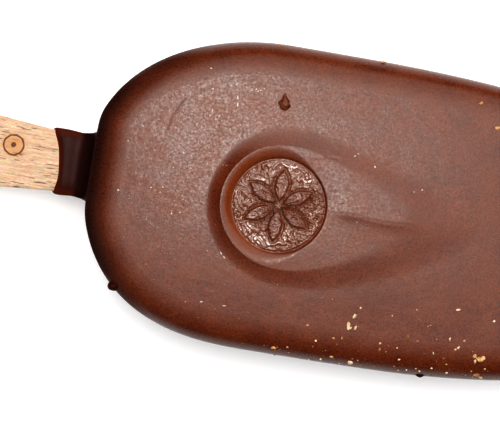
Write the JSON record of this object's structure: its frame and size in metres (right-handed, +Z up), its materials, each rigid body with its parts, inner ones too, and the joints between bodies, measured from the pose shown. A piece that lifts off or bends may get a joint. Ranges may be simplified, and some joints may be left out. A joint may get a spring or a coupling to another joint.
{
  "type": "ice cream bar",
  "caption": "Chocolate coated ice cream bar with nut bits and a round seal pressed into its top, on a flat wooden stick, lying on its back.",
  "frame": {"origin": "centre of the flat patch on the bar's back that it rests on", "axes": "+X along the stick from its handle to the bar's far end, +Y across the bar, +Z up out of the face with the seal"},
  "size_m": [0.1474, 0.049, 0.0268],
  "materials": {
    "chocolate": "satin",
    "wood": "bare, fine grain",
    "nut": "matte"
  },
  "bodies": {
    "root": {"coated_bar": "chocolate", "stick": "wood"}
  },
  "joints": []
}
